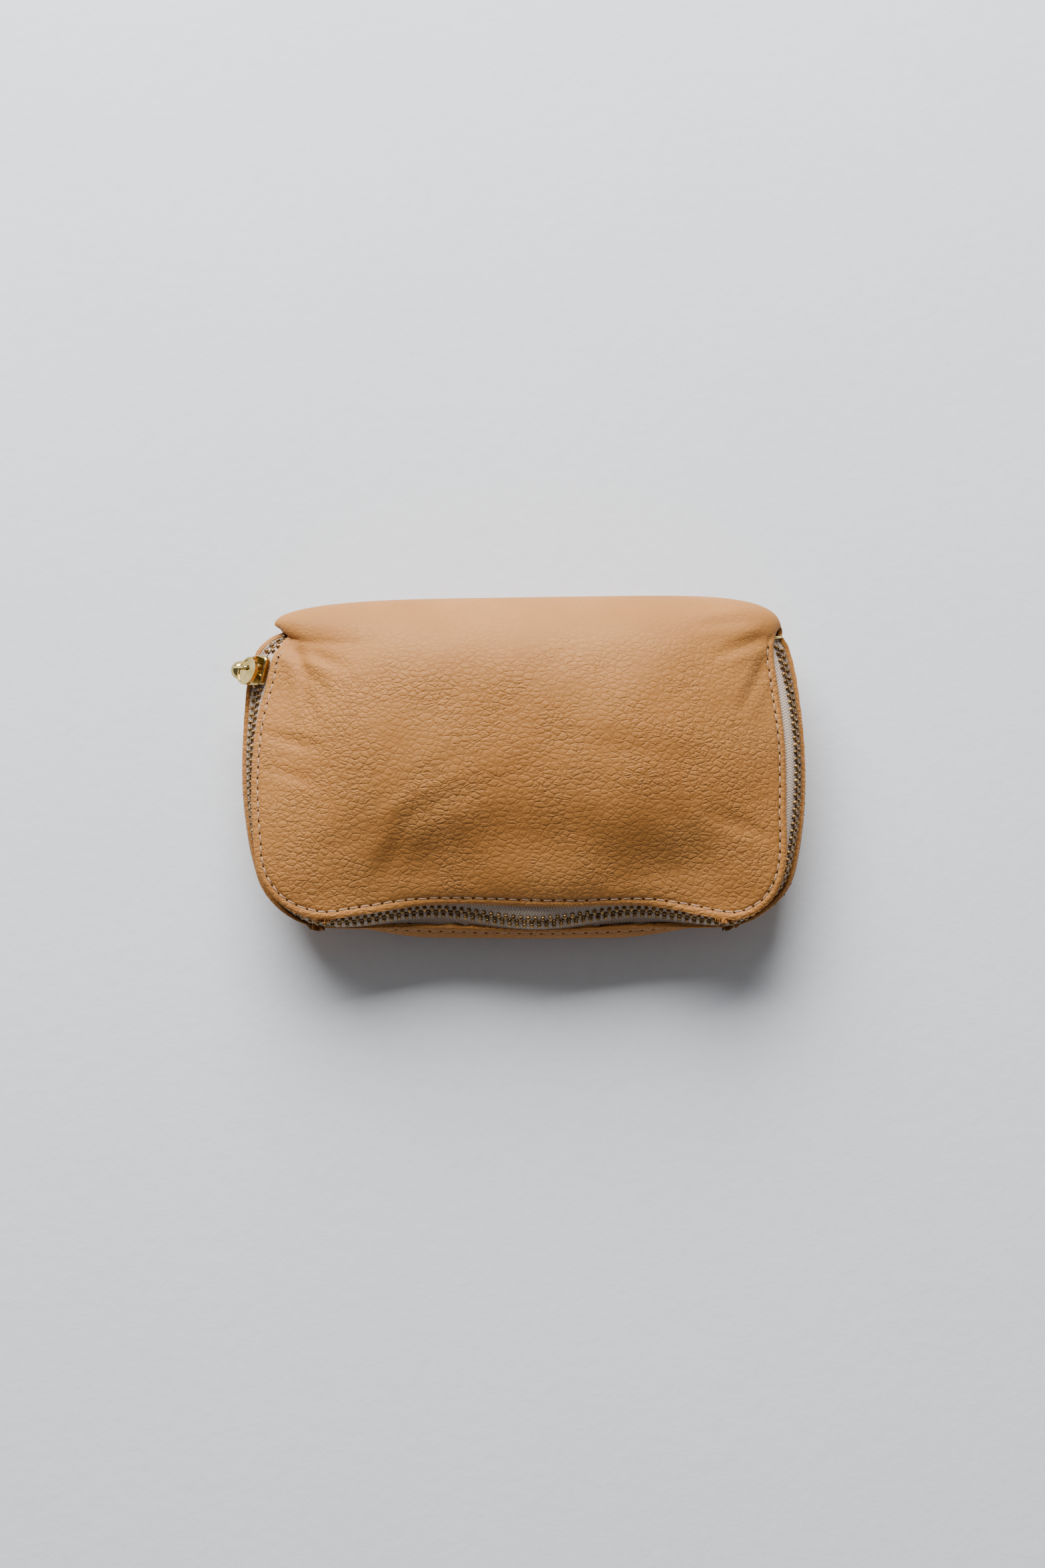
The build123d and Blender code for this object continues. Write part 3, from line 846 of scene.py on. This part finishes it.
def make_tape(name, side, body, node, material, margin):
    """A woven tape from the teeth to well under the leather's edge; side is 1 for the lid's."""
    lines = [band_line(side, across / BAND, 0.0)[::2] for across in TAPE_ACROSS]
    for inward in TAPE_UNDER:
        found = [margin.at(run, inward, out) for run, out in zip(RUN[::4], facing_out(side)[::4])]
        under = np.array([spot - normal * TAPE_DEPTH_MM * mm for spot, normal in found])
        lines.append(soften(np.repeat(under, 2, axis=0)[: len(lines[0])], 11))
    rows = np.stack(lines, axis=1)
    wide = np.r_[TAPE_ACROSS, STRIP_UNDER + TAPE_UNDER]
    strip = [(u, v) for u in RUN[::2] for v in wide]
    piece = grid_piece(name, rows, material, (0, 0, 1), strip)
    thicken(piece, TAPE)
    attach(piece, body)
    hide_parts(node)


def soften(points, width):
    """A line of points averaged over a moving window."""
    padded = np.concatenate([points[:1].repeat(width, axis=0), points, points[-1:].repeat(width, axis=0)])
    window = np.ones(width) / width
    smooth = np.stack([np.convolve(padded[:, k], window, mode="same") for k in range(3)], axis=1)
    return smooth[width:-width]


def tooth_shape(bm):
    """One tooth: two legs clamped over the tape's edge, with a narrower head that meshes."""
    leg = block(bm, (1.3 * mm, 1.75 * mm, 2.2 * mm), (0, 1.5 * mm, 0), 0.28 * mm)
    head = block(bm, (0.95 * mm, 1.3 * mm, 1.5 * mm), (0, 0.25 * mm, -0.2 * mm), 0.22 * mm)
    return leg + head


def at_run(line, distance):
    return [float(np.interp(distance, RUN, line[:, k])) for k in range(3)]


def along_zip(distance):
    """Centre, direction across the teeth and normal at a distance along the zip."""
    return [Vector(at_run(line, distance)) for line in (CENTRE, ACROSS, NORMAL)]


def tooth_place(side, distance):
    centre, across, normal = along_zip(distance)
    along = across.cross(normal) if side > 0 else normal.cross(across)
    return place_at(centre, along, normal)


def in_slider(point):
    return point.x < MIDDLE_X and abs(point.y - SLIDER_Y) < SLIDER_REACH


def tooth_places(side, start, end, offset):
    """A place for each tooth of one row. The lid's row is left out inside the slider, which the
    lid leaves behind when it opens."""
    count = int((end - start) / PITCH)
    places = [tooth_place(side, start + (index + offset) * PITCH) for index in range(count)]
    return [place for place in places if side < 0 or not in_slider(place.translation)]


def make_teeth(material, gold):
    start, end = TEETH_START, RUN[-1] - TEETH_END
    for name, side, body, offset in (("teeth_lid", 1, "lid", 0.5), ("teeth_base", -1, "base", 0.0)):
        piece = copies(name, tooth_shape, tooth_places(side, start, end, offset), material)
        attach(piece, body)
        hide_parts(body + "_zip_teeth")
        stop = copies("top_stop_" + body, tooth_shape, [tooth_place(side, TOP_STOP_AT)], gold)
        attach(stop, body)
        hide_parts(body + "_top_stop")


def make_bottom_stop(gold):
    centre, across, normal = along_zip(RUN[-1] - BOTTOM_STOP_FROM_END)
    bm = bmesh.new()
    made = block(bm, (1.1 * mm, 5.0 * mm, 2.5 * mm), (0, 0, 0.2 * mm), 0.4 * mm, 3)
    bmesh.ops.transform(bm, matrix=place_at(centre, across.cross(normal), normal), verts=made)
    piece = new_piece("bottom_stop", bm, gold)
    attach(piece, "base")
    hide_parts("zip_bottom_stop")


def stitch_shape(bm):
    """One stitch: a rounded strand whose ends dive into two dark needle holes, each a small near-black
    block of painted shade.
    """
    strand = block(bm, (2.6 * mm, 0.5 * mm, 0.46 * mm), (0, 0, 0.02 * mm), 0.19 * mm)
    for vert in strand:
        vert.co.z -= 0.34 * mm * (abs(vert.co.x) / (1.4 * mm)) ** 3
    # The needle hole: a small dark block, painted shade where the thread goes in.
    hole_shade = block(bm, (0.85 * mm, 0.6 * mm, 0.34 * mm), (STITCH_PITCH / 2, 0, -0.06 * mm), 0.14 * mm, 1, 1)
    return strand + hole_shade


def surface_tree(grid):
    """A search tree over a grid of surface points."""
    rows, columns = grid.shape[:2]
    bm = bmesh.new()
    bmesh.ops.create_grid(bm, x_segments=columns - 1, y_segments=rows - 1, size=1)
    for vert, point in zip(bm.verts, grid.reshape(-1, 3)):
        vert.co = point
    bm.normal_update()
    tree = BVHTree.FromBMesh(bm)
    bm.free()
    return tree


def make_stitches(name, side, margin, body, node, thread, hole_shade):
    """Topstitching along one edge, each stitch lying in the channel."""
    count = int((RUN[-1] - UNSTITCHED) / STITCH_PITCH)
    outward = facing_out(side)
    places = []
    for index in range(count):
        distance = STITCH_START + (index + 0.5) * STITCH_PITCH
        out = at_run(outward, distance)
        ends = [margin.at(distance + move, STITCH_IN, out)[0] for move in (-HALF_STITCH, HALF_STITCH)]
        spot, normal = margin.at(distance, STITCH_IN, out)
        places.append(place_at(spot + normal * STITCH_LIFT, ends[1] - ends[0], normal))
    piece = copies(name, stitch_shape, places, thread, hole_shade)
    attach(piece, body)
    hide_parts(node)


def dress_metal(gold):
    """The slider, its bail, the tab, the link and the ball keep their model shapes in pale gold."""
    for node in ("slider_body", "slider_bail", "pull_tab", "pull_link", "pull_ball"):
        piece = bpy.data.objects[node]
        piece.data.materials.clear()
        piece.data.materials.append(gold)


# ---------------------------------------------------------------- stage
def make_floor(material):
    bm = bmesh.new()
    bmesh.ops.create_grid(bm, x_segments=1, y_segments=1, size=2.0)
    floor = new_piece("floor", bm, material)


def add_light(name, at, aim, size, power, colour):
    data = bpy.data.lights.new(name, "AREA")
    data.shape, data.size, data.size_y = "RECTANGLE", size[0], size[1]
    data.energy, data.color = power, colour
    lamp = bpy.data.objects.new(name, data)
    lamp.location = at
    lamp.rotation_euler = (Vector(aim) - Vector(at)).to_track_quat("-Z", "Y").to_euler()
    bpy.context.scene.collection.objects.link(lamp)


def light_stage():
    add_light("window", (-0.28, 1.27, 0.93), (0, 0, 0), (1.5, 1.1), 88.0, (0.985, 0.995, 1.0))
    world = bpy.data.worlds.new("studio")
    bpy.context.scene.world = world
    world.use_nodes = True
    background = world.node_tree.nodes["Background"]
    background.inputs["Color"].default_value = (0.93, 0.96, 1.0, 1)
    background.inputs["Strength"].default_value = 0.20


def add_camera():
    """A 50 mm lens above the pouch, leaning a little towards its front."""
    tilt, distance = math.radians(9.0), 0.745
    aim = Vector((MIDDLE_X - 0.0004, -0.0018, 0.026))
    data = bpy.data.cameras.new("camera")
    data.lens, data.sensor_width = 50.0, 36.0
    camera = bpy.data.objects.new("camera", data)
    camera.location = aim + Vector((0, -math.sin(tilt), math.cos(tilt))) * distance
    camera.rotation_euler = (tilt, 0, 0)
    bpy.context.scene.collection.objects.link(camera)
    bpy.context.scene.camera = camera


def build():
    leather, thread, hole_shade = leather_finish(), thread_finish(), hole_shade_finish()
    brass, gold = brass_finish(), gold_finish()
    tape = tape_finish()
    grid = leather_grid()
    row = make_leather(grid, leather)
    make_lining(grid, row, lining_finish())
    lid_margin = Margin(grid[:ROWS_EDGE], LID_EDGE)
    base_margin = Margin(grid[ROWS_EDGE + ROWS_FOLD :], BASE_EDGE)
    make_tape("tape_lid", 1, "lid", "lid_zip_tape", tape, lid_margin)
    make_tape("tape_base", -1, "base", "base_zip_tape", tape, base_margin)
    make_teeth(brass, gold)
    make_bottom_stop(gold)
    make_stitches("stitches_lid", 1, lid_margin, "lid", "lid_topstitch", thread, hole_shade)
    make_stitches("stitches_base", -1, base_margin, "base", "base_topstitch", thread, hole_shade)
    dress_metal(gold)
    make_floor(floor_finish())
    light_stage()
    add_camera()


build()
